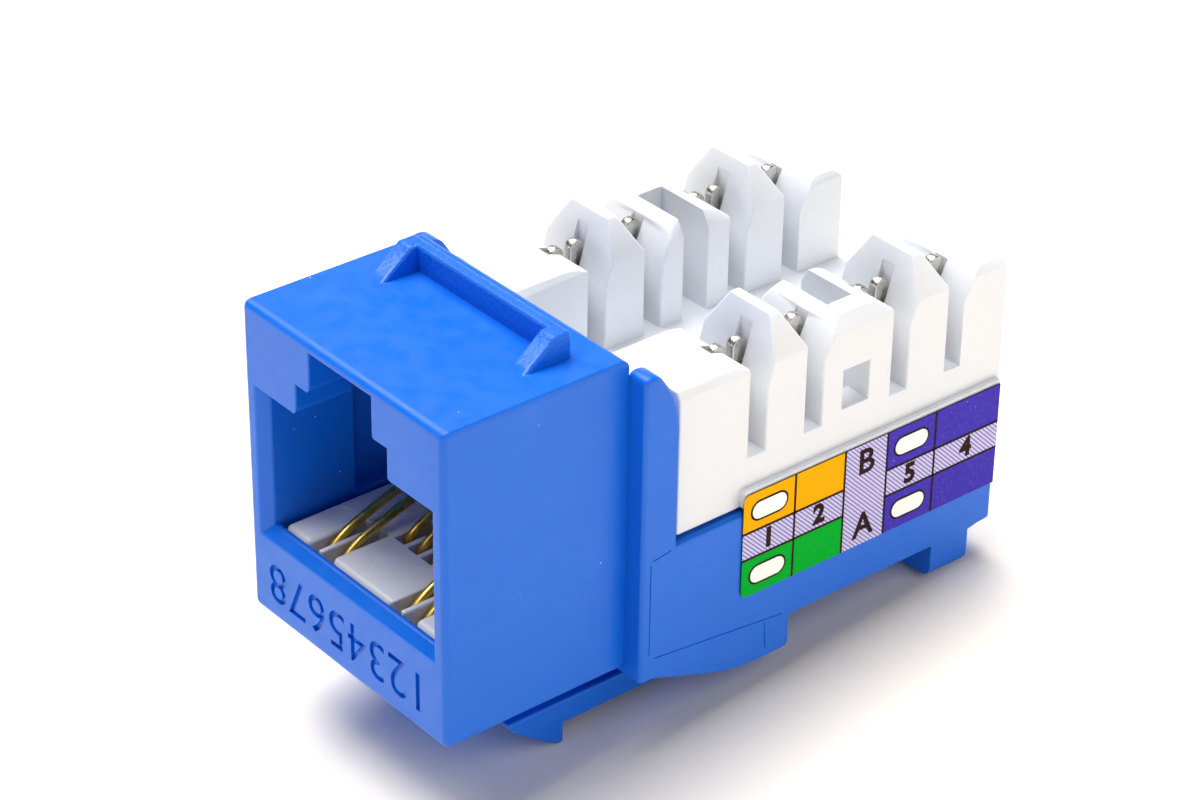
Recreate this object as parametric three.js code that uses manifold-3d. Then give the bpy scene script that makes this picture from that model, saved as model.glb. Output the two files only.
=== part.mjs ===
// Keystone jack: an eight-way modular socket in a snap-in housing, with a right-angle punch-down
// block. The jack is drawn in its own frame, in millimetres: X across it from the centre plane,
// Y back from the port face, Z up from the underside of the front block. The last lines move that
// frame so that the part's origin is under the middle of the whole jack, at its lowest point.
import * as THREE from 'three';
import { mergeVertices } from 'three/addons/utils/BufferGeometryUtils.js';
import Module from 'manifold-3d';

const wasm = await Module();
wasm.setup();

// Gaps between pieces
const FIT = 0.1;              // between pieces that sit against each other
const SWING_GAP = 0.3;        // between pieces that move past each other

// Front block, which passes through the panel
const FRONT_HALF = 7.25;
const FRONT_HEIGHT = 16;
const SHOULDER_Y = 9.95;      // front of the rear body, where the panel stops
const REAR_WALL_Y = 9.2;      // inner face of the wall behind the plug's latch channel

// Port
const PORT_HALF = 6;
const PORT_FLOOR = 4.7;
const PORT_TOP = 11.9;
const PORT_LEAD_IN = 0.5;
const NOTCH_HALF = 3.3;       // upper notch for the plug's latch
const NOTCH_TOP = 13.45;
const SLOT_HALF = 2.25;       // narrow slot above the notch
const SLOT_TOP = 15.5;
const LEDGE_DEPTH = 3;        // ledges that the plug's latch hooks behind
const RELIEF_Y = 5;           // the side walls are thinner behind here
const RELIEF_HALF = 6.6;
const LIP = 0.75;             // front wall under the port
const INSIDE_FLOOR = 0.6;

// Rear body
const BODY_HALF = 8.35;
const BODY_BACK = 31.8;
const BODY_BOTTOM = -0.25;
const WALL_TOP = 6.4;
const TRAY_HALF = 7.4;
const TRAY_FRONT = 10.9;
const TRAY_BACK = 31.1;
const TRAY_FLOOR = 0.75;
const EAR_INNER = 7.2;
const EAR_TOP = 15.4;
const EAR_BACK = 12;
const FOOT_INNER = 5.7;
const REAR_FOOT_INNER = 5.4;
const REAR_FOOT_Y = [27.9, 30.3];
const FOOT_BOTTOM = -2.05;

// Fixed catch on the top and flexible latch below
const CATCH_HALF = 5.55;
const CATCH_FACE_Y = 8.2;     // rear faces of both catches
const CATCH_TOP = 17.25;
const CATCH_RIB = 1.05;
const CATCH_WALL = 0.65;
const LATCH_HALF = 5.2;
const LATCH_TOP = -2.1;
const LATCH_BOTTOM = -3.4;
const LATCH_TIP = -4.45;      // lowest point of the jack
const LATCH_NOSE_Y = 4.95;
const LATCH_HINGE_Y = 12.7;
const LATCH_HINGE_Z = (LATCH_TOP + LATCH_BOTTOM) / 2;
const LATCH_ROUND = (LATCH_TOP - LATCH_BOTTOM) / 2;

// Circuit board
const BOARD_BOTTOM = 1.1;
const BOARD_TOP = 2.7;
const BOARD_FRONT = 1;
const BOARD_BACK = 30.9;
const HOLE = 0.9;             // square plated holes for tails

// Contact insert and its eight springs
const INSERT_FRONT = 0.85;
const INSERT_BACK = 12.2;
const PIN_PITCH = 1.02;
const PIN_COUNT = 8;
const WIRE = 0.45;
const WIRE_SLOT = 0.72;
const FRONT_LEG_Y = 1.6;      // pins 1, 2, 7 and 8 rise here
const BACK_LEG_Y = 4.5;       // pins 3 to 6 rise here
const FRONT_SLOT_RUN = 2.4;   // how far the wires' slots run behind the legs
const BACK_SLOT_RUN = 1.9;
const LEG_ROOM = 0.45;
const FRONT_BEND_Z = 3.6;
const BACK_BEND_Z = 4.35;
const SPRING_TIP = [10.1, 7.3];
const TAIL_BOTTOM = 0.85;

// Punch-down block
const BLOCK_BACK = 32;
const BLOCK_BOTTOM = 2.8;
const BLOCK_SHELF = 6.55;     // underside of the part that overhangs the tray walls
const VALLEY_FLOOR = 9;
const ROW_INNER = 3.2;
const ROW_OUTER = 8;
const ROW_END_Z = 13.4;       // top of the towers' end faces
const SLOT_BOTTOM = 9.15;
const SLOT_WIDTH = 1;
const LEAD_IN_Z = 12.3;       // the wire slots flare backwards above here
const TOWER_SHOULDER_Z = 13.5; // and forwards above here
const WIRE_SLOT_Y = [16.8, 20.15, 25.4, 28.8];
const NOSE_FRONT = SHOULDER_Y + FIT;
const NOSE_BACK = 12.6;
const NOSE_HALF = 7.1;

// Insulation-displacement terminals
const TERMINAL_X = 5.7;
const TERMINAL_THICK = 0.5;
const TERMINAL_HALF = 1.05;
const TERMINAL_SLIT = 0.36;
const TERMINAL_ARC = 13.35;   // centre height of the prongs' round tops
// Pin numbers of the terminals on each side, from the front
const RIGHT_PINS = [1, 2, 5, 4];
const LEFT_PINS = [3, 6, 7, 8];
const CHANNEL_WIDTH = 0.8;
const CHANNEL_HALF = 1.2;

// Wiring labels
const LABEL_THICK = 0.08;
const LABEL_GAP = 0.02;
const LABEL_CORNER = 0.35;
const LABEL_Y = [15.76, 31.7];
const LABEL_Z = [1.89, 7.33];

const CURVE_STEPS = 4;
const MERGE = 1e-4;
const SIDES = [-1, 1];

const finish = {
  blue: { color: 0x2a5fd0, roughness: 0.35, metalness: 0 },
  white: { color: 0xf4f4f2, roughness: 0.45, metalness: 0 },
  board: { color: 0x1d5a34, roughness: 0.5, metalness: 0 },
  gold: { color: 0xd8a93c, roughness: 0.25, metalness: 1 },
  tin: { color: 0xc9c8c2, roughness: 0.3, metalness: 1 },
  label: { color: 0xe4e2ee, roughness: 0.6, metalness: 0 },
};

// ---- solids -------------------------------------------------------------------------------

function toSolid(geometry) {
  geometry.deleteAttribute('normal');
  geometry.deleteAttribute('uv');
  const merged = mergeVertices(geometry, MERGE);
  return new wasm.Manifold(new wasm.Mesh({
    numProp: 3,
    vertProperties: Float32Array.from(merged.attributes.position.array),
    triVerts: Uint32Array.from(merged.index.array),
  }));
}

function toGeometry(solid) {
  const mesh = solid.getMesh();
  const geometry = new THREE.BufferGeometry();
  geometry.setAttribute('position', new THREE.BufferAttribute(mesh.vertProperties, 3));
  geometry.setIndex(new THREE.BufferAttribute(mesh.triVerts, 1));
  geometry.computeVertexNormals();
  return geometry;
}

const join = (solids) => solids.reduce((whole, solid) => whole.add(solid));
const cut = (solid, tools) => tools.reduce((left, tool) => left.subtract(tool), solid);

function block([x0, x1], [y0, y1], [z0, z1]) {
  const geometry = new THREE.BoxGeometry(Math.abs(x1 - x0), y1 - y0, z1 - z0);
  return toSolid(geometry.translate((x0 + x1) / 2, (y0 + y1) / 2, (z0 + z1) / 2));
}

const centred = (half) => [-half, half];

// An outline of [a, b] points. A third number rounds that corner, starting that far from it.
function outline(points) {
  const shape = new THREE.Shape();
  const at = (i) => new THREE.Vector2(...points[(i + points.length) % points.length]);
  points.forEach(([a, b, round = 0], i) => {
    const corner = new THREE.Vector2(a, b);
    const start = at(i - 1).sub(corner).setLength(round).add(corner);
    const end = at(i + 1).sub(corner).setLength(round).add(corner);
    if (i === 0) shape.moveTo(start.x, start.y);
    else shape.lineTo(start.x, start.y);
    if (round > 0) shape.quadraticCurveTo(a, b, end.x, end.y);
  });
  return shape;
}

function extrude(shape, depth, basis) {
  const options = { depth, bevelEnabled: false, curveSegments: CURVE_STEPS };
  const axes = basis.map((axis) => new THREE.Vector3(...axis));
  const turn = new THREE.Matrix4().makeBasis(...axes);
  return new THREE.ExtrudeGeometry(shape, options).applyMatrix4(turn);
}

// A [y, z] outline, or a drawn shape, carried along X
function alongX(points, [x0, x1]) {
  const shape = points instanceof THREE.Shape ? points : outline(points);
  const low = Math.min(x0, x1);
  const turned = extrude(shape, Math.abs(x1 - x0), [[0, 1, 0], [0, 0, 1], [1, 0, 0]]);
  return toSolid(turned.translate(low, 0, 0));
}

// An [x, z] outline carried along Y
function alongY(points, [y0, y1]) {
  const turned = extrude(outline(points), y1 - y0, [[1, 0, 0], [0, 0, 1], [0, -1, 0]]);
  return toSolid(turned.translate(0, y1, 0));
}

// An [x, y] outline carried along Z
function alongZ(points, [z0, z1]) {
  const turned = extrude(outline(points), z1 - z0, [[1, 0, 0], [0, 1, 0], [0, 0, 1]]);
  return toSolid(turned.translate(0, 0, z0));
}

function piece(name, geometry, look) {
  const mesh = new THREE.Mesh(geometry, new THREE.MeshStandardMaterial(finish[look]));
  mesh.name = name;
  return mesh;
}

// ---- housing ------------------------------------------------------------------------------

// The plug's way in: main opening, latch notch and slot, the room behind the latch ledges, and
// the space for the contact insert below.
function portCavity() {
  const through = [-1, TRAY_FRONT + 1];
  const mainOpening = block(centred(PORT_HALF), through, [PORT_FLOOR, PORT_TOP]);
  const notch = block(centred(NOTCH_HALF), [-1, REAR_WALL_Y], [PORT_FLOOR, NOTCH_TOP]);
  const slot = block(centred(SLOT_HALF), [-1, REAR_WALL_Y], [PORT_FLOOR, SLOT_TOP]);
  const behind = [LEDGE_DEPTH, REAR_WALL_Y];
  const latchRoom = block(centred(PORT_HALF), behind, [PORT_FLOOR, NOTCH_TOP]);
  const slotRoom = block(centred(NOTCH_HALF), behind, [PORT_FLOOR, SLOT_TOP]);
  const relief = block(centred(RELIEF_HALF), [RELIEF_Y, SHOULDER_Y], [PORT_FLOOR, NOTCH_TOP - 1]);
  const insertRoom = block(centred(PORT_HALF), [LIP, through[1]], [INSIDE_FLOOR, PORT_TOP]);
  return join([mainOpening, notch, slot, latchRoom, slotRoom, relief, insertRoom]);
}

// Chamfer at the sides and the lip of the main opening
function portLeadIn() {
  const wide = PORT_HALF + PORT_LEAD_IN;
  const low = PORT_FLOOR - PORT_LEAD_IN;
  const back = PORT_LEAD_IN;
  const sides = alongZ(
    [[-wide - 1, -1], [wide + 1, -1], [wide, 0], [PORT_HALF, back], [-PORT_HALF, back], [-wide, 0]],
    [low - 2, PORT_TOP],
  );
  const lip = alongX([[-1, low - 1], [0, low], [back, PORT_FLOOR], [back, PORT_TOP], [-1, PORT_TOP]],
    centred(wide + 2));
  return sides.intersect(lip);
}

function ear(side) {
  return alongX([[SHOULDER_Y, BODY_BOTTOM], [SHOULDER_Y, EAR_TOP, 0.35], [10.8, EAR_TOP, 0.4],
    [EAR_BACK, 13.6, 1.2], [EAR_BACK, BODY_BOTTOM]], [side * EAR_INNER, side * BODY_HALF]);
}

function frontFoot(side) {
  return alongX([[SHOULDER_Y, 0.5], [SHOULDER_Y, 0], [10.9, -0.33], [15.1, -1.81, 0.8],
    [16.8, -1.97], [18.85, -1.97, 0.35], [18.85, 0.5]], [side * FOOT_INNER, side * BODY_HALF]);
}

function rearFoot(side) {
  return alongY([[side * BODY_HALF, 0.5], [side * BODY_HALF, FOOT_BOTTOM, 0.6],
    [side * REAR_FOOT_INNER, FOOT_BOTTOM, 0.3], [side * REAR_FOOT_INNER, 0.5]], REAR_FOOT_Y);
}

function fixedCatch() {
  const bar = block(centred(CATCH_HALF), [CATCH_FACE_Y - CATCH_WALL, CATCH_FACE_Y],
    [FRONT_HEIGHT - 0.3, CATCH_TOP]);
  const ribs = SIDES.map((side) => alongX(
    [[5.25, FRONT_HEIGHT - 0.3], [5.6, FRONT_HEIGHT], [7.25, CATCH_TOP], [CATCH_FACE_Y, CATCH_TOP],
      [CATCH_FACE_Y, FRONT_HEIGHT - 0.3]],
    [side * (CATCH_HALF - CATCH_RIB), side * CATCH_HALF],
  ));
  return join([bar, ...ribs]);
}

// The stub under the rear body that the flexible latch grows from
function latchStub() {
  const face = LATCH_HINGE_Y + LATCH_ROUND + SWING_GAP;
  return alongX([[face, 0], [face, LATCH_BOTTOM], [15, LATCH_BOTTOM, 0.5], [17.3, 0]],
    centred(LATCH_HALF));
}

function housing() {
  const front = block(centred(FRONT_HALF), [0, TRAY_FRONT], [0, FRONT_HEIGHT]);
  const aboveTray = block(centred(FRONT_HALF), [SHOULDER_Y, TRAY_FRONT + 1], [WALL_TOP, FRONT_HEIGHT + 1]);
  const rear = block(centred(BODY_HALF), [SHOULDER_Y, BODY_BACK], [BODY_BOTTOM, WALL_TOP]);
  const tray = block(centred(TRAY_HALF), [TRAY_FRONT, TRAY_BACK], [TRAY_FLOOR, WALL_TOP + 1]);
  const hull = cut(join([front, rear]), [aboveTray, tray]);
  const extras = SIDES.flatMap((side) => [ear(side), frontFoot(side), rearFoot(side)]);
  const moulding = join([hull, ...extras, fixedCatch(), latchStub()]);
  return toGeometry(cut(moulding, [tray, portCavity(), portLeadIn()]));
}

// ---- latch --------------------------------------------------------------------------------

// Drawn about its hinge line, at the end that grows from the stub
function latch() {
  const profile = new THREE.Shape();
  profile.moveTo(0, -LATCH_ROUND);
  profile.absarc(0, 0, LATCH_ROUND, -Math.PI / 2, Math.PI / 2, false);
  const nose = LATCH_NOSE_Y - LATCH_HINGE_Y;
  const face = CATCH_FACE_Y - LATCH_HINGE_Y;
  const tip = LATCH_TIP - LATCH_HINGE_Z;
  profile.lineTo(nose, LATCH_ROUND);
  profile.quadraticCurveTo(nose + 1.9, tip + 0.45, face - 0.35, tip);
  profile.lineTo(face, tip);
  profile.lineTo(face, -LATCH_ROUND);
  return toGeometry(alongX(profile, centred(LATCH_HALF)));
}

// ---- circuit board ------------------------------------------------------------------------

// Pin 1 is on the right, seen from the port with the latch notch up
const pinX = (pin) => ((PIN_COUNT + 1) / 2 - pin) * PIN_PITCH;
const isFrontPin = (pin) => Math.abs(pinX(pin)) > 2 * PIN_PITCH;
const legY = (pin) => (isFrontPin(pin) ? FRONT_LEG_Y : BACK_LEG_Y);
const pins = Array.from({ length: PIN_COUNT }, (_, i) => i + 1);
const terminals = SIDES.flatMap((side) => WIRE_SLOT_Y.map((y, i) => ({
  pin: side > 0 ? RIGHT_PINS[i] : LEFT_PINS[i], x: side * TERMINAL_X, y,
})));

function circuitBoard() {
  const frontHalf = PORT_HALF - 2 * FIT;
  const rearHalf = TRAY_HALF - 2 * FIT;
  const step = TRAY_FRONT + 2 * FIT;
  const board = alongZ([[-frontHalf, BOARD_FRONT], [frontHalf, BOARD_FRONT], [frontHalf, step],
    [rearHalf, step], [rearHalf, BOARD_BACK], [-rearHalf, BOARD_BACK], [-rearHalf, step],
    [-frontHalf, step]], [BOARD_BOTTOM, BOARD_TOP]);
  const spots = [...pins.map((pin) => ({ x: pinX(pin), y: legY(pin) })), ...terminals];
  const holes = spots.map(({ x, y }) => block([x - HOLE / 2, x + HOLE / 2],
    [y - HOLE / 2, y + HOLE / 2], [BOARD_BOTTOM - 1, BOARD_TOP + 1]));
  return toGeometry(cut(board, holes));
}

// ---- contact insert and springs -----------------------------------------------------------

function contactInsert() {
  const half = PORT_HALF - 2 * FIT;
  const base = block(centred(half), [INSERT_FRONT, INSERT_BACK], [BOARD_TOP + FIT, PORT_FLOOR]);
  const slots = pins.map((pin) => {
    const [front, run] = isFrontPin(pin)
      ? [0, FRONT_SLOT_RUN]
      : [BACK_LEG_Y - LEG_ROOM, BACK_SLOT_RUN];
    return block([pinX(pin) - WIRE_SLOT / 2, pinX(pin) + WIRE_SLOT / 2],
      [front, legY(pin) + run], [BOARD_TOP - 1, PORT_FLOOR + 1]);
  });
  return toGeometry(cut(base, slots));
}

// A strip of the wire's width that follows the [y, z] points
function strip(points) {
  const half = WIRE / 2;
  const side = (sign) => points.map(([y, z], i) => {
    const before = points[Math.max(i - 1, 0)];
    const after = points[Math.min(i + 1, points.length - 1)];
    const along = new THREE.Vector2(after[0] - before[0], after[1] - before[1]).normalize();
    return [y - sign * half * along.y, z + sign * half * along.x];
  });
  return toGeometry(alongX([...side(-1), ...side(1).reverse()], centred(half)));
}

// The sprung arm of a contact, drawn about its bend
function springArm(pin) {
  const [y, z] = [legY(pin), isFrontPin(pin) ? FRONT_BEND_Z : BACK_BEND_Z];
  const route = isFrontPin(pin)
    ? [[1.72, 3.82], [2.35, 4.45], [3.3, 5.06], [5.4, 5.79], SPRING_TIP]
    : [[4.65, 4.55], [5.65, 5.3], SPRING_TIP];
  return strip(route.map(([a, b]) => [a - y, b - z]));
}

function contactTail(pin) {
  const top = (isFrontPin(pin) ? FRONT_BEND_Z : BACK_BEND_Z) - FIT;
  return strip([[0, TAIL_BOTTOM], [0, top]]);
}

// ---- punch-down block ---------------------------------------------------------------------

// Side outlines of the towers between the wire slots: flat ones at the ends, wire splitters
// with a sharp crest, and a broad one in the middle.
function towerOutlines() {
  const base = VALLEY_FLOOR - 1;
  const half = SLOT_WIDTH / 2;
  const [first, second, third, last] = WIRE_SLOT_Y;
  const splitter = (from, to) => {
    const middle = (from + to) / 2;
    return [[from, base], [from, LEAD_IN_Z], [middle - 0.25, 15.2], [middle + 0.25, 15.2],
      [to, TOWER_SHOULDER_Z], [to, base]];
  };
  return [
    [[NOSE_FRONT, base], [NOSE_FRONT, 13.8, 0.3], [first - 1.3, 13.8, 0.5],
      [first - half, TOWER_SHOULDER_Z], [first - half, base]],
    splitter(first + half, second - half),
    [[second + half, base], [second + half, LEAD_IN_Z], [second + 1.35, 14.2, 0.7],
      [third - 1.4, 14.2, 0.7], [third - half, TOWER_SHOULDER_Z], [third - half, base]],
    splitter(third + half, last - half),
    [[last + half, base], [last + half, LEAD_IN_Z], [last + 1.3, 13.8, 0.5],
      [BLOCK_BACK, 13.8, 0.7], [BLOCK_BACK, base]],
  ];
}

function towerRow(side) {
  const towers = join(towerOutlines().map((points) => alongX(points,
    [side * ROW_INNER, side * ROW_OUTER])));
  const ends = [[ROW_INNER, 0], [ROW_INNER, ROW_END_Z], [ROW_INNER + 1.2, 15.4, 0.4],
    [ROW_OUTER - 1.2, 15.4, 0.4], [ROW_OUTER, ROW_END_Z], [ROW_OUTER, 0]];
  return towers.intersect(alongY(ends.map(([x, ...rest]) => [side * x, ...rest]), [0, 40]));
}

// The inner channel of the middle tower, and the window through its outer wall
function middleChannel(side) {
  const inner = block([side * (ROW_INNER - 1), side * 6.6], [22, 23.5], [VALLEY_FLOOR, 16]);
  const window = block([side * 6, side * 9], [21.9, 23.5], [9.4, 11.4]);
  return inner.add(window);
}

function punchBlock() {
  const socket = block(centred(TRAY_HALF - 2 * FIT), [NOSE_BACK, TRAY_BACK - 2 * FIT],
    [BLOCK_BOTTOM, VALLEY_FLOOR]);
  const deck = block(centred(ROW_OUTER), [EAR_BACK + 0.2, BLOCK_BACK], [BLOCK_SHELF, VALLEY_FLOOR]);
  const skirt = block(centred(BODY_HALF - LABEL_GAP), [15.9, BODY_BACK], [BLOCK_SHELF, 7.5]);
  const nose = block(centred(NOSE_HALF), [NOSE_FRONT, NOSE_BACK], [BLOCK_SHELF, 13.3]);
  const body = join([socket, deck, skirt, nose, ...SIDES.map(towerRow)]);
  const plugRoom = block(centred(PORT_HALF + FIT), [9, NOSE_BACK - SWING_GAP], [0, PORT_TOP + SWING_GAP]);
  const earRoom = SIDES.map((side) => block([side * NOSE_HALF, side * 9],
    [NOSE_FRONT - 1, EAR_BACK + 0.2], [0, 20]));
  const wireSlots = SIDES.flatMap((side) => WIRE_SLOT_Y.map((y) => block(
    [side * (ROW_INNER - 0.5), side * 9], [y - SLOT_WIDTH / 2, y + SLOT_WIDTH / 2], [SLOT_BOTTOM, 16],
  )));
  const channels = terminals.map(({ x, y }) => block([x - CHANNEL_WIDTH / 2, x + CHANNEL_WIDTH / 2],
    [y - CHANNEL_HALF, y + CHANNEL_HALF], [0, 16]));
  return toGeometry(cut(body, [plugRoom, ...earRoom, ...wireSlots, ...channels,
    ...SIDES.map(middleChannel)]));
}

// A flat fork with two round-topped prongs, a narrow slit between them, and a tail
function terminal() {
  const shape = new THREE.Shape();
  const prong = (TERMINAL_HALF - TERMINAL_SLIT / 2) / 2;
  const prongY = TERMINAL_SLIT / 2 + prong;
  const tail = 0.35;
  shape.moveTo(-tail, TAIL_BOTTOM);
  shape.lineTo(tail, TAIL_BOTTOM);
  shape.lineTo(tail, 3.4);
  shape.lineTo(TERMINAL_HALF, 4.3);
  shape.absarc(prongY, TERMINAL_ARC, prong, 0, Math.PI, false);
  shape.lineTo(TERMINAL_SLIT / 2, 8);
  shape.lineTo(-TERMINAL_SLIT / 2, 8);
  shape.absarc(-prongY, TERMINAL_ARC, prong, 0, Math.PI, false);
  shape.lineTo(-TERMINAL_HALF, 4.3);
  shape.lineTo(-tail, 3.4);
  return toGeometry(alongX(shape, centred(TERMINAL_THICK / 2)));
}

// ---- labels -------------------------------------------------------------------------------

function wiringLabel() {
  const [y0, y1] = LABEL_Y;
  const [z0, z1] = LABEL_Z;
  return toGeometry(alongX([[y0, z0, LABEL_CORNER], [y1, z0], [y1, z1],
    [y0, z1, LABEL_CORNER]], [0, LABEL_THICK]));
}

// ---- assembly -----------------------------------------------------------------------------

const jack = new THREE.Group();
jack.add(piece('housing', housing(), 'blue'));

const latchPiece = piece('latch', latch(), 'blue');
latchPiece.position.set(0, LATCH_HINGE_Y, LATCH_HINGE_Z);
jack.add(latchPiece);

jack.add(piece('circuit_board', circuitBoard(), 'board'));
jack.add(piece('contact_insert', contactInsert(), 'white'));

for (const pin of pins) {
  const arm = piece(`contact_${pin}`, springArm(pin), 'gold');
  arm.position.set(pinX(pin), legY(pin), isFrontPin(pin) ? FRONT_BEND_Z : BACK_BEND_Z);
  const tail = piece(`contact_tail_${pin}`, contactTail(pin), 'gold');
  tail.position.set(pinX(pin), legY(pin), 0);
  jack.add(arm, tail);
}

jack.add(piece('punch_block', punchBlock(), 'white'));

for (const { pin, x, y } of terminals) {
  const fork = piece(`terminal_${pin}`, terminal(), 'tin');
  fork.position.set(x, y, 0);
  jack.add(fork);
}

const labelRight = piece('label_right', wiringLabel(), 'label');
labelRight.position.x = BODY_HALF + LABEL_GAP;
const labelLeft = piece('label_left', wiringLabel(), 'label');
labelLeft.position.x = -BODY_HALF - LABEL_GAP - LABEL_THICK;
jack.add(labelRight, labelLeft);

jack.position.set(0, -BLOCK_BACK / 2, -LATCH_TIP);

const part = new THREE.Group();
part.add(jack);
export default part;
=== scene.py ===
"""Keystone jack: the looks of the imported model, for Blender 4.5.

Sizes here are in millimetres in the jack's own frame, as in the CAD: X across from the centre
plane, Y back from the port face, Z up from the underside of the front block. at() turns a place
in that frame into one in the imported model's frame, in metres.
"""
import math

import bmesh
import bpy
from mathutils import Matrix, Vector


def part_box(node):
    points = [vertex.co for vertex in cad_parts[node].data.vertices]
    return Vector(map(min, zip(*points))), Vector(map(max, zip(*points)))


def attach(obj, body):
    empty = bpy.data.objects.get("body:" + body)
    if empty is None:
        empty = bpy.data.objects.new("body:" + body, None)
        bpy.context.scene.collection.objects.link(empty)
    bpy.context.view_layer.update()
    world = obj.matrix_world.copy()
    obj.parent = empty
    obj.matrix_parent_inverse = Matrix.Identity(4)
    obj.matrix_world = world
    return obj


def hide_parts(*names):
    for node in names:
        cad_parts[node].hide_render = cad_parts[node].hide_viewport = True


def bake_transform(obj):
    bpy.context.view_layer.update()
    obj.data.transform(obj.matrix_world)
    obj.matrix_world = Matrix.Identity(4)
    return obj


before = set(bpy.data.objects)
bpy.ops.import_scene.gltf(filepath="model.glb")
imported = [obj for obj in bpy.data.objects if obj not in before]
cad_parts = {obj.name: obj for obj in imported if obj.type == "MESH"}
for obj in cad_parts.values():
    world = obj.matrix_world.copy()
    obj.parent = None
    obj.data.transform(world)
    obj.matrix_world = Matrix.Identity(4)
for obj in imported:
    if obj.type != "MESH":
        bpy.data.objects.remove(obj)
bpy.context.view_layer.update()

MM = 0.001
SIDES = (-1, 1)

# The frame
CATCH_TOP = 17.25             # highest point of the housing
FRONT_HEIGHT = 16             # top of the front block
BODY_HALF = 8.35              # side walls of the rear body
housing_low, housing_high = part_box("housing")
ORIGIN = Vector((0, housing_low.y, housing_high.z - CATCH_TOP * MM))

# Camera, solved from the jack's edges: where it looks from, and how it is turned
CAMERA_PLACE = (105.833, -73.688, 92.091)
CAMERA_AZIMUTH = 50.236
CAMERA_ELEVATION = 31.138
CAMERA_ROLL = 0.797
LENS = 106.35

# What the jack rests on: the latch's hook and the rear edge of its rear feet
HOOK = (8.2, -4.45)
REAR_FOOT = (30.3, -2.05)

# Contacts: the wire, and the [y, z] route of each row from the board up to the free end
WIRE_RADIUS = 0.225
FRONT_ROUTE = ((1.6, 0.87), (1.6, 2.2), (1.58, 3.3), (1.66, 3.95), (2.35, 4.55), (3.3, 5.06), (5.4, 5.79),
               (10.1, 7.3))
BACK_ROUTE = ((4.5, 0.87), (4.5, 2.6), (4.48, 4.0), (4.62, 4.62), (5.65, 5.3), (10.1, 7.3))
ROW_LIMIT = 3                 # tails in front of this belong to the front row

# Flexible latch
LATCH_HALF = 5.2
LATCH_TOP = -2.1
LATCH_BOTTOM = -3.4
LATCH_STEP = 0.5              # spacing of the sections along its flexing length
LATCH_EDGE = 0.14

# Wiring labels: column and row edges, and how far each printed layer reaches from the body
LABEL_X = 8.37
LABEL_COLUMNS = (15.76, 18.85, 21.88, 24.51, 27.57, 31.7)
LABEL_ROWS = (1.89, 3.9, 5.32, 7.33)
LABEL_CORNER = 0.35
PAPER, FILL, LINE, SPOT, FIGURE = 0.05, 0.058, 0.066, 0.074, 0.08
LINE_HALF = 0.062
HATCH_PITCH = 0.23
LETTER_SIZE = 1.85            # the letters A and B, with their inset and added weight
LETTER_INSET = 1.0
LETTER_BOLD = 0.016
PIN_SIZE = 1.4
PIN_BOLD = 0.042
SPOT_RIM = (1.13, 0.55)       # half length and half height of a white spot with its dark rim
SPOT_WHITE = (1.02, 0.44)

# Floor: radii in metres, the first one flat, and how steeply it climbs beyond that one
FLOOR_RINGS = (0.5, 1, 2, 3)
FLOOR_STEPS = 64
RIM_SLOPE = 0.26

# Light: name, where it comes from, strength, spread in degrees and colour; then the dim room
LIGHTS = (("overhead", (-0.4, 0.02, 1), 4.4, 50, (0.99, 0.99, 1)),
          ("front_fill", (-0.1, -0.55, 1.1), 0.6, 30, (1, 1, 1)),
          ("right_fill", (1, 0.15, 0.9), 0.65, 40, (1, 1, 1)))
ROOM_COLOUR = (1, 0.95, 0.9, 1)
ROOM_STRENGTH = 0.06

# Meshes
FLAT_ANGLE = math.radians(0.5)     # faces that meet flatter than this are joined up
EDGE_ANGLE = math.radians(32)      # edges sharper than this are rounded
SHARP_ANGLE = math.radians(40)     # edges sharper than this are shaded as corners
SMOOTH_RUN = math.radians(130)     # edges that meet wider than this share one radius
EDGE_SHARE = 0.42                  # most of the edge beside it that a rounding may use up
NARROW = 0.15                      # sine of the smallest corner that limits a rounding
WELD = 0.001                       # corners of a piece that are closer than this are one
SAME_PLACE = 1e-7                  # the same for a mesh just made, in metres


def at(x, y, z):
    """A place in the jack's frame, as one in the model's."""
    return ORIGIN + Vector((x, y, z)) * MM


def in_jack(point):
    """The other way round."""
    return (point - ORIGIN) / MM


# ---- materials ----------------------------------------------------------------------------

def add(tree, kind, inputs=(), **settings):
    """A new shader node. An input is a number or colour, or the socket that feeds it."""
    made = tree.nodes.new("ShaderNode" + kind)
    for name, value in settings.items():
        setattr(made, name, value)
    for name, value in dict(inputs).items():
        if isinstance(value, bpy.types.NodeSocket):
            tree.links.new(value, made.inputs[name])
        else:
            made.inputs[name].default_value = value
    return made


def new_material(name, **fixed):
    """A material with a Principled shader, its fixed inputs, and the object's coordinates."""
    material = bpy.data.materials.new(name)
    material.use_nodes = True
    tree = material.node_tree
    shader = tree.nodes["Principled BSDF"]
    for key, value in fixed.items():
        shader.inputs[key.replace("_", " ")].default_value = value
    place = add(tree, "TexCoord").outputs["Object"]
    return material, tree, shader, place


def noise(tree, place, feature, detail=2.0):
    """Noise from 0 to 1 whose lumps are about feature millimetres across."""
    inputs = {"Vector": place, "Scale": 1 / (feature * MM), "Detail": detail}
    return add(tree, "TexNoise", inputs).outputs["Fac"]


def ramp(tree, value, low, high, to_low=0.0, to_high=1.0):
    """A smooth step from to_low to to_high as the value goes from low to high."""
    limits = {"Value": value, "From Min": low, "From Max": high, "To Min": to_low, "To Max": to_high}
    return add(tree, "MapRange", limits, interpolation_type="SMOOTHSTEP").outputs["Result"]


def maths(tree, operation, *values):
    return add(tree, "Math", dict(enumerate(values)), operation=operation).outputs[0]


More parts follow.
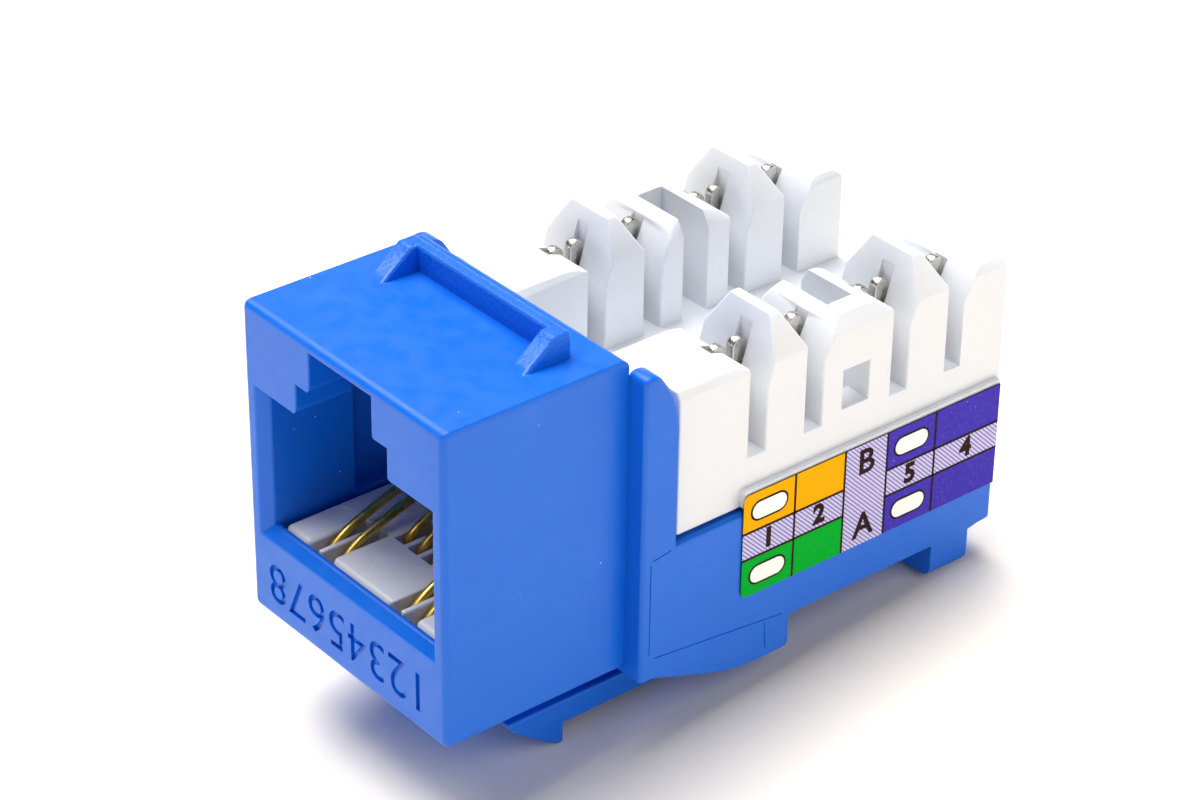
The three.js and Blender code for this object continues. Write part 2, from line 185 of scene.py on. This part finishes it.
def mix(tree, amount, first, second):
    """A blend of two colours. The node's inputs 0, 6 and 7 are the amount and the colours."""
    return add(tree, "Mix", {0: amount, 6: first, 7: second}, data_type="RGBA").outputs[2]


def bump(tree, shader, height, depth):
    """Bends the surface by height, which counts from 0 to 1 over depth millimetres."""
    bent = add(tree, "Bump", {"Height": height, "Distance": depth * MM})
    tree.links.new(bent.outputs["Normal"], shader.inputs["Normal"])


def specks(tree, place, spacing, size):
    """1 in small dots spread at random over the surface."""
    cells = add(tree, "TexVoronoi", {"Vector": place, "Scale": 1 / (spacing * MM)})
    return ramp(tree, cells.outputs["Distance"], size / spacing * 0.6, size / spacing, 1.0, 0.0)


def rgb(red, green, blue):
    """A colour given as it is seen, from 0 to 255, as Blender's linear values."""
    def linear(level):
        level /= 255
        return level / 12.92 if level <= 0.04045 else ((level + 0.055) / 1.055) ** 2.4
    return (linear(red), linear(green), linear(blue), 1)


def blue_plastic():
    material, tree, shader, place = new_material("blue_plastic", IOR=1.4)
    cloud = noise(tree, place, 5)
    colour = mix(tree, cloud, rgb(2, 98, 212), rgb(6, 106, 222))
    dust = specks(tree, place, 1.9, 0.045)
    colour = mix(tree, dust, colour, rgb(190, 205, 240))
    tree.links.new(colour, shader.inputs["Base Color"])
    grain = noise(tree, place, 0.09, 4)
    roughness = ramp(tree, noise(tree, place, 1.2, 3), 0.3, 0.7, 0.3, 0.42)
    # The mould's pitting on the catch's ribs
    height = add(tree, "SeparateXYZ", {"Vector": place}).outputs["Z"]
    on_catch = ramp(tree, height, at(0, 0, 16.15).z, at(0, 0, 16.4).z)
    pits = maths(tree, "MULTIPLY", on_catch, noise(tree, place, 0.22, 3))
    relief = maths(tree, "ADD", maths(tree, "MULTIPLY", grain, 0.05), maths(tree, "MULTIPLY", pits, 0.9))
    tree.links.new(roughness, shader.inputs["Roughness"])
    bump(tree, shader, relief, 0.05)
    return material


def white_plastic(name, light, shade, rough):
    material, tree, shader, place = new_material(name, IOR=1.5)
    colour = mix(tree, noise(tree, place, 4), light, shade)
    dust = specks(tree, place, 3.1, 0.05)
    colour = mix(tree, dust, colour, rgb(150, 140, 125))
    tree.links.new(colour, shader.inputs["Base Color"])
    roughness = ramp(tree, noise(tree, place, 1.5, 3), 0.3, 0.7, rough, rough + 0.12)
    tree.links.new(roughness, shader.inputs["Roughness"])
    bump(tree, shader, noise(tree, place, 0.12, 3), 0.003)
    return material


def metal(name, light, dark, rough, mark):
    """Plated wire or strip, with tarnish in patches and fine drawn marks."""
    material, tree, shader, place = new_material(name, Metallic=1.0)
    patches = ramp(tree, noise(tree, place, 0.9, 3), 0.35, 0.75)
    tree.links.new(mix(tree, patches, light, dark), shader.inputs["Base Color"])
    drawn = add(tree, "Mapping", {"Vector": place, "Scale": (14, 1, 1)}).outputs["Vector"]
    lines = noise(tree, drawn, 0.7, 2)
    tree.links.new(ramp(tree, lines, 0.3, 0.7, rough, rough + 0.15), shader.inputs["Roughness"])
    bump(tree, shader, lines, mark)
    return material


def printed(name, colour, worn, hatch=None):
    """Ink on the label's film. Hatch is a second colour, in fine slanting lines."""
    material, tree, shader, place = new_material(name, Roughness=0.6, IOR=1.12)
    tone = mix(tree, ramp(tree, noise(tree, place, 0.18, 4), 0.45, 0.75), colour, worn)
    if hatch:
        axes = add(tree, "SeparateXYZ", {"Vector": place})
        slant = maths(tree, "ADD", axes.outputs["Y"], axes.outputs["Z"])
        wave = maths(tree, "PINGPONG", slant, HATCH_PITCH / 2 * MM)
        lines = ramp(tree, wave, 0.26 * HATCH_PITCH / 2 * MM, 0.42 * HATCH_PITCH / 2 * MM, 1.0, 0.0)
        tone = mix(tree, lines, tone, hatch)
    dust = specks(tree, place, 0.7, 0.03)
    tone = mix(tree, dust, tone, rgb(235, 235, 235))
    tree.links.new(tone, shader.inputs["Base Color"])
    bump(tree, shader, noise(tree, place, 0.1, 2), 0.002)
    return material


def solder_mask():
    material, tree, shader, place = new_material("board_green", Roughness=0.4)
    weave = add(tree, "TexChecker", {"Vector": place, "Scale": 1 / (0.45 * MM)}).outputs["Fac"]
    colour = mix(tree, noise(tree, place, 3), rgb(16, 84, 44), rgb(22, 98, 52))
    tree.links.new(colour, shader.inputs["Base Color"])
    relief = maths(tree, "ADD", noise(tree, place, 0.3), maths(tree, "MULTIPLY", weave, 0.3))
    bump(tree, shader, relief, 0.004)
    return material


BLUE = blue_plastic()
BLOCK_WHITE = white_plastic("block_white", rgb(232, 235, 240), rgb(226, 229, 235), 0.34)
INSERT_WHITE = white_plastic("insert_white", rgb(240, 240, 238), rgb(232, 231, 228), 0.26)
GOLD = metal("contact_gold", rgb(240, 200, 100), rgb(214, 164, 66), 0.26, 0.002)
TIN = metal("terminal_tin", rgb(214, 212, 205), rgb(176, 173, 165), 0.22, 0.003)
BOARD = solder_mask()
LAVENDER = rgb(206, 202, 232)
INKS = {
    "paper": printed("label_paper", LAVENDER, rgb(220, 217, 240)),
    "hatch": printed("label_hatch", LAVENDER, rgb(216, 212, 238), rgb(120, 104, 190)),
    "orange": printed("label_orange", rgb(255, 174, 0), rgb(255, 180, 10)),
    "green": printed("label_green", rgb(0, 170, 46), rgb(10, 178, 56)),
    "violet": printed("label_violet", rgb(68, 54, 176), rgb(80, 66, 184)),
    "brown": printed("label_brown", rgb(126, 76, 40), rgb(146, 94, 54)),
    "line": printed("label_line", rgb(44, 26, 24), rgb(64, 44, 38)),
    "white": printed("label_white", rgb(252, 252, 250), rgb(244, 243, 240)),
}
INK_NAMES = tuple(INKS)


# ---- meshes -------------------------------------------------------------------------------

def show(name, bm, *materials):
    """Puts the mesh into the scene under a name, and returns the new object."""
    mesh = bpy.data.meshes.new(name)
    bm.to_mesh(mesh)
    bm.free()
    for material in materials:
        mesh.materials.append(material)
    made = bpy.data.objects.new(name, mesh)
    bpy.context.scene.collection.objects.link(made)
    return made


def settle(piece):
    """Applies the piece's modifiers to its mesh."""
    bpy.context.view_layer.update()
    solid = piece.evaluated_get(bpy.context.evaluated_depsgraph_get())
    piece.data = bpy.data.meshes.new_from_object(solid)
    piece.modifiers.clear()


def prism(bm, outline, carry, look=0):
    """Adds a closed solid: a flat outline of places in the jack's frame, carried along a vector."""
    near_ring = [bm.verts.new(at(*point)) for point in outline]
    far_ring = [bm.verts.new(vert.co + Vector(carry) * MM) for vert in near_ring]
    faces = [bm.faces.new(near_ring), bm.faces.new(far_ring[::-1])]
    for i in range(len(outline)):
        faces.append(bm.faces.new((near_ring[i], near_ring[i - 1], far_ring[i - 1], far_ring[i])))
    for face in faces:
        face.material_index = look
    bmesh.ops.recalc_face_normals(bm, faces=faces)


def box(bm, low, high):
    outline = [(low[0], low[1], low[2]), (high[0], low[1], low[2]), (high[0], high[1], low[2]),
               (low[0], high[1], low[2])]
    prism(bm, outline, (0, 0, high[2] - low[2]))


def curve_mesh(curve):
    """The mesh of a curve or a text."""
    made = bpy.data.objects.new("curve", curve)
    bpy.context.scene.collection.objects.link(made)
    bpy.context.view_layer.update()
    mesh = bpy.data.meshes.new_from_object(made.evaluated_get(bpy.context.evaluated_depsgraph_get()))
    bpy.data.objects.remove(made)
    return mesh


def lettering(bm, text, size, place, right, up, depth, bold=0.0, look=0):
    """Adds solid text, centred on a place, reading along right, and depth thick each way."""
    curve = bpy.data.curves.new("lettering", "FONT")
    curve.body = text
    curve.align_x = "CENTER"
    curve.align_y = "CENTER"
    curve.resolution_u = 5
    curve.extrude = depth / size
    curve.offset = bold / size
    mesh = curve_mesh(curve)
    right, up = Vector(right), Vector(up)
    turn = Matrix((right, up, right.cross(up))).transposed().to_4x4()
    mesh.transform(Matrix.Translation(at(*place)) @ turn @ Matrix.Scale(size * MM, 4))
    start = len(bm.faces)
    bm.from_mesh(mesh)
    bm.faces.ensure_lookup_table()
    for face in bm.faces[start:]:
        face.material_index = look


def edge_radius(edge, rounds):
    """The radius of an edge, from the first of the rounds whose box holds both its ends."""
    if not edge.is_manifold or edge.calc_face_angle() < EDGE_ANGLE:
        return 0
    ends = [in_jack(vert.co) for vert in edge.verts]
    for low, high, convex, concave in rounds:
        if all(low[0] <= abs(x) <= high[0] and low[1] <= y <= high[1] and low[2] <= z <= high[2]
               for x, y, z in ends):
            return convex if edge.is_convex else concave
    return 0


def room_for(edge, radii):
    """The largest radius that keeps an edge's rounding clear of the next corners along its faces."""
    room = radii[edge]
    for face in edge.link_faces:
        for vert in edge.verts:
            beside = next(e for e in vert.link_edges if e is not edge and face in e.link_faces)
            along = edge.other_vert(vert).co - vert.co
            away = beside.other_vert(vert).co - vert.co
            angle = along.angle(away)
            if math.sin(angle) < NARROW:
                continue
            spread = math.sin(angle) / (1 + math.cos(angle)) if radii[beside] else math.sin(angle)
            room = min(room, EDGE_SHARE * spread * beside.calc_length() / MM)
    return room


def fitted_radii(bm, rounds):
    """Each edge's radius, cut where corners are close, and the same all along each smooth run."""
    radii = {edge: edge_radius(edge, rounds) for edge in bm.edges}
    radii = {edge: room_for(edge, radii) if radius else 0 for edge, radius in radii.items()}
    changed = True
    while changed:
        changed = False
        for vert in bm.verts:
            run = [edge for edge in vert.link_edges if radii[edge]]
            if len(run) != 2:
                continue
            ways = [edge.other_vert(vert).co - vert.co for edge in run]
            if ways[0].angle(ways[1]) < SMOOTH_RUN or radii[run[0]] == radii[run[1]]:
                continue
            radii[run[0]] = radii[run[1]] = min(radii[run[0]], radii[run[1]])
            changed = True
    return radii


def rounded_copy(name, node, rounds, material, segments=3):
    """A copy of a CAD node with its flat faces joined up and its edges rounded."""
    bm = bmesh.new()
    bm.from_mesh(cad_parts[node].data)
    bmesh.ops.remove_doubles(bm, verts=bm.verts, dist=WELD * MM)
    bmesh.ops.dissolve_limit(bm, angle_limit=FLAT_ANGLE, verts=bm.verts, edges=bm.edges)
    weight = bm.edges.layers.float.new("bevel_weight_edge")
    radii = fitted_radii(bm, rounds)
    largest = max(radii.values())
    for edge in bm.edges:
        edge[weight] = radii[edge] / largest
    piece = show(name, bm, material)
    bevel = piece.modifiers.new("edges", "BEVEL")
    bevel.limit_method = "WEIGHT"
    bevel.width = largest * MM
    bevel.segments = segments
    bevel.use_clamp_overlap = False
    settle(piece)
    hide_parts(node)
    return piece


def carve(piece, bm, overlapping=False):
    """Cuts the solids in bm out of the piece. Overlapping says that they may cross each other."""
    bmesh.ops.remove_doubles(bm, verts=bm.verts, dist=SAME_PLACE)
    tool = show("carving_tool", bm)
    cut = piece.modifiers.new("carve", "BOOLEAN")
    cut.operation = "DIFFERENCE"
    cut.solver = "EXACT"
    cut.use_self = overlapping
    cut.object = tool
    settle(piece)
    bpy.data.objects.remove(tool)
    bm = bmesh.new()
    bm.from_mesh(piece.data)
    bmesh.ops.remove_doubles(bm, verts=bm.verts, dist=WELD * MM)
    bmesh.ops.dissolve_degenerate(bm, dist=WELD * MM / 2, edges=bm.edges)
    bm.to_mesh(piece.data)
    bm.free()


def finish_piece(piece, body):
    """Smooth shading over the rounded edges, then the piece's body, if any."""
    bm = bmesh.new()
    bm.from_mesh(piece.data)
    for face in bm.faces:
        face.smooth = True
    for edge in bm.edges:
        edge.smooth = edge.is_contiguous and edge.calc_face_angle(0) < SHARP_ANGLE
    bm.to_mesh(piece.data)
    bm.free()
    normals = piece.modifiers.new("normals", "WEIGHTED_NORMAL")
    normals.keep_sharp = True
    if body:
        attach(piece, body)


# ---- housing ------------------------------------------------------------------------------

HOUSING_ROUNDS = (
    # low corner, high corner, radius of convex edges, radius of concave edges
    ((3.2, -0.1, 11.8), (3.4, 3.1, 12), 0.4, 0),        # corners of the ledges over the port
    ((2.2, -0.1, 13.4), (2.3, 3.1, 13.5), 0.4, 0),
    ((0, -1, 0.4), (6.75, 9.9, 15.6), 0.1, 0),          # the rest of the port
    ((0, 10, 0.5), (7.5, 31.3, 7), 0.08, 0),            # the tray
    ((0, 5, 15.9), (5.7, 8.3, 17.4), 0.2, 0),           # the catch
    ((0, 13, -3.6), (5.7, 17.5, -0.2), 0, 0),           # the latch's stub
    ((7, 11.9, 6.3), (7.5, 12.1, 13.7), 0.05, 0),       # inner rear edges of the ears
    ((5, 27.8, -2.3), (8.4, 30.4, -0.2), 0, 0),         # rear feet, left sharp
    ((5, 9.9, -2.3), (8.4, 19.5, -0.2), 0, 0),          # front feet, left sharp
    ((5, 9.9, -2.3), (8.4, 32, 15.6), 0.25, 0),         # ears and body
    ((0, -1, -3.5), (8.4, 32, 17), 0.34, 0),            # the front block
)
# The latch grows from its own stub, so the moulded one is cut away inside this box
STUB_BOX = ((-6, 13, -4), (6, 17.6, -0.2499))
DIGIT_SIZE = 2.9
DIGIT_PITCH = 1.5
DIGIT_HEIGHT = 2.15
DIGIT_DEPTH = 0.16
SINK_MARK = (-4.7, 2.3)       # centre of the shallow dent on the top
SINK_RADIUS = 1.7
SINK_DEPTH = 0.05
# Fine lines left by the mould on both sides, as [y, z] runs
MOULD_LINES = (((10.45, 1.1), (10.45, 5.9)), ((10.6, 6.05), (11.6, 6.22)), ((10.75, 0.82), (18.4, -0.03)),
               ((17.34, -0.06), (17.44, -1.5)))
MOULD_LINE_HALF = 0.035


def sink_mark(bm):
    """A shallow round lens, standing a little above the top face so that it cuts cleanly."""
    rings, steps = 7, 40
    x, y = SINK_MARK
    floor = bm.verts.new(at(x, y, FRONT_HEIGHT - SINK_DEPTH))
    ring = [floor] * steps
    for i in range(1, rings + 2):
        share = min(i / rings, 1)
        drop = SINK_DEPTH * (1 - share ** 2) ** 2 if i <= rings else -0.5
        places = [(x + SINK_RADIUS * share * math.cos(math.tau * k / steps),
                   y + SINK_RADIUS * share * math.sin(math.tau * k / steps)) for k in range(steps)]
        outer = [bm.verts.new(at(*place, FRONT_HEIGHT - drop)) for place in places]
        for k in range(steps):
            corners = [ring[k - 1], ring[k], outer[k], outer[k - 1]]
            bm.faces.new(corners if i > 1 else corners[1:])
        ring = outer
    bm.faces.new(ring)
    bmesh.ops.recalc_face_normals(bm, faces=bm.faces)


def mould_line(bm, side, start, end):
    """A fine groove in a side wall, along a [y, z] run."""
    along = (Vector(end) - Vector(start)).normalized() * MOULD_LINE_HALF
    across = Vector((-along.y, along.x))
    corners = [Vector(start) - across, Vector(end) - across, Vector(end) + across, Vector(start) + across]
    wall = BODY_HALF - MOULD_LINE_HALF
    prism(bm, [(side * wall, y, z) for y, z in corners], (side * 1, 0, 0))


def housing():
    """The shell, with its pin digits, mould lines and sink mark cut in."""
    piece = rounded_copy("housing_shell", "housing", HOUSING_ROUNDS, BLUE)
    bm = bmesh.new()
    for i in range(8):
        place = ((3.5 - i) * DIGIT_PITCH, 0, DIGIT_HEIGHT)
        lettering(bm, str(i + 1), DIGIT_SIZE, place, (-1, 0, 0), (0, 0, -1), DIGIT_DEPTH)
    box(bm, *STUB_BOX)
    carve(piece, bm, overlapping=True)
    bm = bmesh.new()
    for side in SIDES:
        for start, end in MOULD_LINES:
            mould_line(bm, side, start, end)
    carve(piece, bm)
    bm = bmesh.new()
    sink_mark(bm)
    carve(piece, bm)
    finish_piece(piece, "jack")


# ---- latch --------------------------------------------------------------------------------

def latch():
    """The latch with its stub, in one piece."""
    root = [13.7, 15]
    flex = [12.9 - LATCH_STEP * i for i in range(9)]
    top = [(17.3, 0), (13.95, 0), (13.7, -0.3), (13.68, LATCH_TOP + 0.35), (13.35, LATCH_TOP)]
    top += [(y, LATCH_TOP) for y in flex]
    nose = [(4.95, LATCH_TOP), (5.12, -2.42), (5.5, -2.8), (6.05, -3.24), (6.65, -3.67), (7.3, -4.09),
            (7.88, -4.45)]
    hook = [(8.2, -4.45), (8.2, LATCH_BOTTOM)]
    under = [(y, LATCH_BOTTOM) for y in flex[::-1]] + [(y, LATCH_BOTTOM) for y in root]
    bm = bmesh.new()
    outline = [(-LATCH_HALF, y, z) for y, z in top + nose + hook + under]
    prism(bm, outline, (2 * LATCH_HALF, 0, 0))
    piece = show("latch_moulding", bm, BLUE)
    bevel = piece.modifiers.new("edges", "BEVEL")
    bevel.limit_method = "ANGLE"
    bevel.angle_limit = EDGE_ANGLE
    bevel.width = LATCH_EDGE * MM
    bevel.segments = 3
    bevel.use_clamp_overlap = False
    settle(piece)
    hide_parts("latch")
    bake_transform(piece)
    finish_piece(piece, None)


# ---- insert, block and terminals ----------------------------------------------------------

INSERT_ROUNDS = (
    ((2.85, 0, 2), (3.26, 4.8, 4.8), 0.1, 0),           # thin ribs between the front slots
    ((0, 4, 2), (1.95, 6.5, 4.8), 0.08, 0),             # thin ribs between the rear slots
    ((0, 0, 2), (6, 13, 2.85), 0.1, 0),                 # underside
    ((0, 1.3, 2), (6, 13, 4.8), 0.18, 0),
    ((0, 0, 2), (6, 13, 4.8), 0.3, 0),                  # front edges
)
BLOCK_ROUNDS = (
    ((4.3, 29.2, 13.2), (7.4, 30.9, 14.9), 0, 0),       # last terminal channels
    ((4.6, 15, 9.1), (6.8, 30.5, 16), 0.04, 0),         # terminal channels
    ((2, 21.9, 8.9), (6.7, 23.6, 15), 0.08, 0),         # inner channel of the middle towers
    ((5.9, 21.8, 9.3), (8.1, 23.6, 11.5), 0.08, 0),     # windows
    ((0, 9, 14.8), (8.4, 33, 16), 0.1, 0),              # crests
    ((0, 9, 8.9), (8.4, 33, 9.2), 0.05, 0),             # slot bottoms and valley floor
    ((7.9, 12, 6.5), (8.4, 32.1, 7.6), 0.06, 0),        # skirt over the body's walls
    ((0, 9, 6), (8.4, 12.7, 14), 0.1, 0),               # nose
    ((0, 0, 2), (8.4, 33, 6.5), 0.1, 0),                # the part in the tray
    ((0, 9, 9.5), (8.4, 33, 16), 0.22, 0),              # towers
    ((0, 9, 6), (8.4, 33, 16), 0.14, 0.06),
)
TERMINAL_ROUNDS = (((0, 10, 0), (8, 32, 15), 0.09, 0),)
DIMPLE_PLACE = (4.95, 3.2)    # a shallow round dimple on each side of the insert
DIMPLE_RADIUS = 0.72
DIMPLE_FLOOR = 4.66
DIMPLE_STEPS = 40


def insert():
    piece = rounded_copy("contact_carrier", "contact_insert", INSERT_ROUNDS, INSERT_WHITE, segments=4)
    bm = bmesh.new()
    x, y = DIMPLE_PLACE
    turns = [math.tau * i / DIMPLE_STEPS for i in range(DIMPLE_STEPS)]
    for side in SIDES:
        circle = [(side * x + DIMPLE_RADIUS * math.cos(turn), y + DIMPLE_RADIUS * math.sin(turn))
                  for turn in turns]
        prism(bm, [(*point, DIMPLE_FLOOR) for point in circle], (0, 0, 1))
    carve(piece, bm)
    finish_piece(piece, "jack")


def punch_block():
    piece = rounded_copy("punch_down_block", "punch_block", BLOCK_ROUNDS, BLOCK_WHITE)
    finish_piece(piece, "jack")


def terminals():
    for pin in range(1, 9):
        piece = rounded_copy(f"terminal_fork_{pin}", f"terminal_{pin}", TERMINAL_ROUNDS, TIN)
        finish_piece(piece, "jack")


def board():
    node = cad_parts["circuit_board"]
    node.data.materials.clear()
    node.data.materials.append(BOARD)


# ---- contacts -----------------------------------------------------------------------------

def contact(pin):
    """One gold wire, from its tail in the board to the free end of its sprung arm."""
    low, high = (in_jack(corner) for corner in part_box(f"contact_tail_{pin}"))
    x = (low.x + high.x) / 2
    route = FRONT_ROUTE if low.y < ROW_LIMIT else BACK_ROUTE
    curve = bpy.data.curves.new(f"contact_wire_{pin}", "CURVE")
    curve.dimensions = "3D"
    curve.bevel_depth = WIRE_RADIUS * MM
    curve.bevel_resolution = 5
    curve.use_fill_caps = True
    spline = curve.splines.new("NURBS")
    spline.points.add(len(route) - 1)
    for point, (y, z) in zip(spline.points, route):
        point.co = (*at(x, y, z), 1)
    spline.use_endpoint_u = True
    spline.order_u = 3
    spline.resolution_u = 8
    bm = bmesh.new()
    bm.from_mesh(curve_mesh(curve))
    bmesh.ops.remove_doubles(bm, verts=bm.verts, dist=SAME_PLACE)
    piece = show(f"contact_wire_{pin}", bm, GOLD)
    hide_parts(f"contact_{pin}", f"contact_tail_{pin}")
    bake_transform(piece)
    finish_piece(piece, None)


# ---- labels -------------------------------------------------------------------------------

# Columns from the front: the pin and its two colours, the upper one for wiring B. A pin with a
# striped wire has a white spot. None is the column that names the two wirings.
RIGHT_COLUMNS = (("1", "orange", "green", True), ("2", "orange", "green", False), None,
                 ("5", "violet", "violet", True), ("4", "violet", "violet", False))
LEFT_COLUMNS = (("3", "green", "orange", True), ("6", "green", "orange", False), None,
                ("7", "brown", "brown", True), ("8", "brown", "brown", False))


def rounded_box(y_span, z_span, corners):
    """A [y, z] outline whose named corners, such as (0, 1) for low Y and high Z, are rounded."""
    points = []
    for i, j in ((0, 0), (1, 0), (1, 1), (0, 1)):
        if (i, j) not in corners:
            points.append((y_span[i], z_span[j]))
            continue
        steps = 6
        y = y_span[i] + (LABEL_CORNER if i == 0 else -LABEL_CORNER)
        z = z_span[j] + (LABEL_CORNER if j == 0 else -LABEL_CORNER)
        start = {(0, 0): 180, (1, 0): 270, (1, 1): 0, (0, 1): 90}[i, j]
        for k in range(steps + 1):
            turn = math.radians(start + 90 * k / steps)
            points.append((y + LABEL_CORNER * math.cos(turn), z + LABEL_CORNER * math.sin(turn)))
    return points


def stadium(y, z, half_length, half_height):
    """A [y, z] outline with straight sides and round ends."""
    points = []
    for sign in (1, -1):
        for k in range(13):
            turn = math.radians(-90 + 15 * k) + (0 if sign > 0 else math.pi)
            points.append((y + sign * (half_length - half_height) + half_height * math.cos(turn),
                           z + half_height * math.sin(turn)))
    return points


def wiring_label(name, node, side, columns):
    """A film with its ink in thin layers, each a little proud of the one below."""
    bm = bmesh.new()

    def layer(outline, depth, ink):
        start = side * LABEL_X
        prism(bm, [(start, y, z) for y, z in outline], (side * depth, 0, 0), INK_NAMES.index(ink))

    def bar(y_span, z_span):
        layer(rounded_box(y_span, z_span, ()), LINE, "line")

    def figure(text, size, y, z, bold):
        lettering(bm, text, size, (side * (LABEL_X + FIGURE / 2), y, z), (0, side, 0), (0, 0, 1),
                  FIGURE / 2, bold=bold * size, look=INK_NAMES.index("line"))

    low, third, two_thirds, high = LABEL_ROWS
    front, back = LABEL_COLUMNS[0], LABEL_COLUMNS[-1]
    layer(rounded_box((front, back), (low, high), ((0, 0), (0, 1))), PAPER, "paper")
    for i, column in enumerate(columns):
        span = LABEL_COLUMNS[i], LABEL_COLUMNS[i + 1]
        middle = sum(span) / 2
        if column is None:
            layer(rounded_box(span, (low, high), ()), FILL, "hatch")
            figure("B", LETTER_SIZE, middle, high - LETTER_INSET, LETTER_BOLD)
            figure("A", LETTER_SIZE, middle, low + LETTER_INSET, LETTER_BOLD)
            continue
        pin, upper, lower, striped = column
        first = ((0, 0), (0, 1)) if i == 0 else ()
        layer(rounded_box(span, (two_thirds, high), [c for c in first if c[1] == 1]), FILL, upper)
        layer(rounded_box(span, (third, two_thirds), ()), FILL, "hatch")
        layer(rounded_box(span, (low, third), [c for c in first if c[1] == 0]), FILL, lower)
        figure(pin, PIN_SIZE, middle, (third + two_thirds) / 2, PIN_BOLD)
        for z in (third, two_thirds):
            bar(span, (z - LINE_HALF, z + LINE_HALF))
        if striped:
            for z in ((low + third) / 2, (two_thirds + high) / 2):
                layer(stadium(middle, z, *SPOT_RIM), LINE, "line")
                layer(stadium(middle, z, *SPOT_WHITE), SPOT, "white")
    for y in LABEL_COLUMNS[1:-1]:
        bar((y - LINE_HALF, y + LINE_HALF), (low, high))
    piece = show(name, bm, *INKS.values())
    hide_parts(node)
    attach(piece, "jack")


# ---- stage --------------------------------------------------------------------------------

def floor():
    """A pale table top, tilted to touch the hook and the rear feet, with its far rim curving up."""
    hook, foot = at(0, *HOOK), at(0, *REAR_FOOT)
    along = (foot - hook).normalized()
    across = Vector((1, 0, 0))
    turn = Matrix((across, along, across.cross(along))).transposed()
    angles = [math.tau * k / FLOOR_STEPS for k in range(FLOOR_STEPS)]
    bm = bmesh.new()
    inner = None
    for radius in FLOOR_RINGS:
        height = RIM_SLOPE * (radius - FLOOR_RINGS[0])
        ring = [Vector((radius * math.cos(angle), radius * math.sin(angle), height)) for angle in angles]
        outer = [bm.verts.new(hook + turn @ point) for point in ring]
        if inner is None:
            bm.faces.new(outer)
        else:
            for k in range(FLOOR_STEPS):
                bm.faces.new((inner[k - 1], outer[k - 1], outer[k], inner[k]))
        inner = outer
    material, tree, shader, place = new_material("floor", Roughness=0.7, IOR=1.3)
    tree.links.new(mix(tree, noise(tree, place, 60), rgb(252, 245, 233), rgb(254, 247, 236)),
                   shader.inputs["Base Color"])
    show("floor", bm, material)


def lights():
    """Soft distant lights, and a dim room all round."""
    for name, source, strength, spread, colour in LIGHTS:
        data = bpy.data.lights.new(name, "SUN")
        data.energy = strength
        data.angle = math.radians(spread)
        data.color = colour
        light = bpy.data.objects.new(name, data)
        bpy.context.scene.collection.objects.link(light)
        light.rotation_euler = Vector(source).to_track_quat("Z", "Y").to_euler()
    world = bpy.data.worlds.new("studio")
    world.use_nodes = True
    world.node_tree.nodes["Background"].inputs["Color"].default_value = ROOM_COLOUR
    world.node_tree.nodes["Background"].inputs["Strength"].default_value = ROOM_STRENGTH
    bpy.context.scene.world = world
    bpy.context.scene.view_settings.view_transform = "Standard"


def camera():
    """The camera, facing back along its own Z axis."""
    azimuth, elevation, roll = (math.radians(a) for a in (CAMERA_AZIMUTH, CAMERA_ELEVATION, CAMERA_ROLL))
    back = Vector((math.sin(azimuth) * math.cos(elevation), -math.cos(azimuth) * math.cos(elevation),
                   math.sin(elevation)))
    level = Vector((math.cos(azimuth), math.sin(azimuth), 0))
    upright = back.cross(level)
    right = level * math.cos(roll) + upright * math.sin(roll)
    up = back.cross(right)
    data = bpy.data.cameras.new("camera")
    data.lens = LENS
    data.clip_start = 0.01
    view = bpy.data.objects.new("camera", data)
    bpy.context.scene.collection.objects.link(view)
    turn = Matrix((right, up, back)).transposed().to_4x4()
    view.matrix_world = Matrix.Translation(at(*CAMERA_PLACE)) @ turn
    bpy.context.scene.camera = view


housing()
latch()
insert()
punch_block()
terminals()
board()
for pin in range(1, 9):
    contact(pin)
wiring_label("wiring_label_right", "label_right", 1, RIGHT_COLUMNS)
wiring_label("wiring_label_left", "label_left", -1, LEFT_COLUMNS)
floor()
lights()
camera()
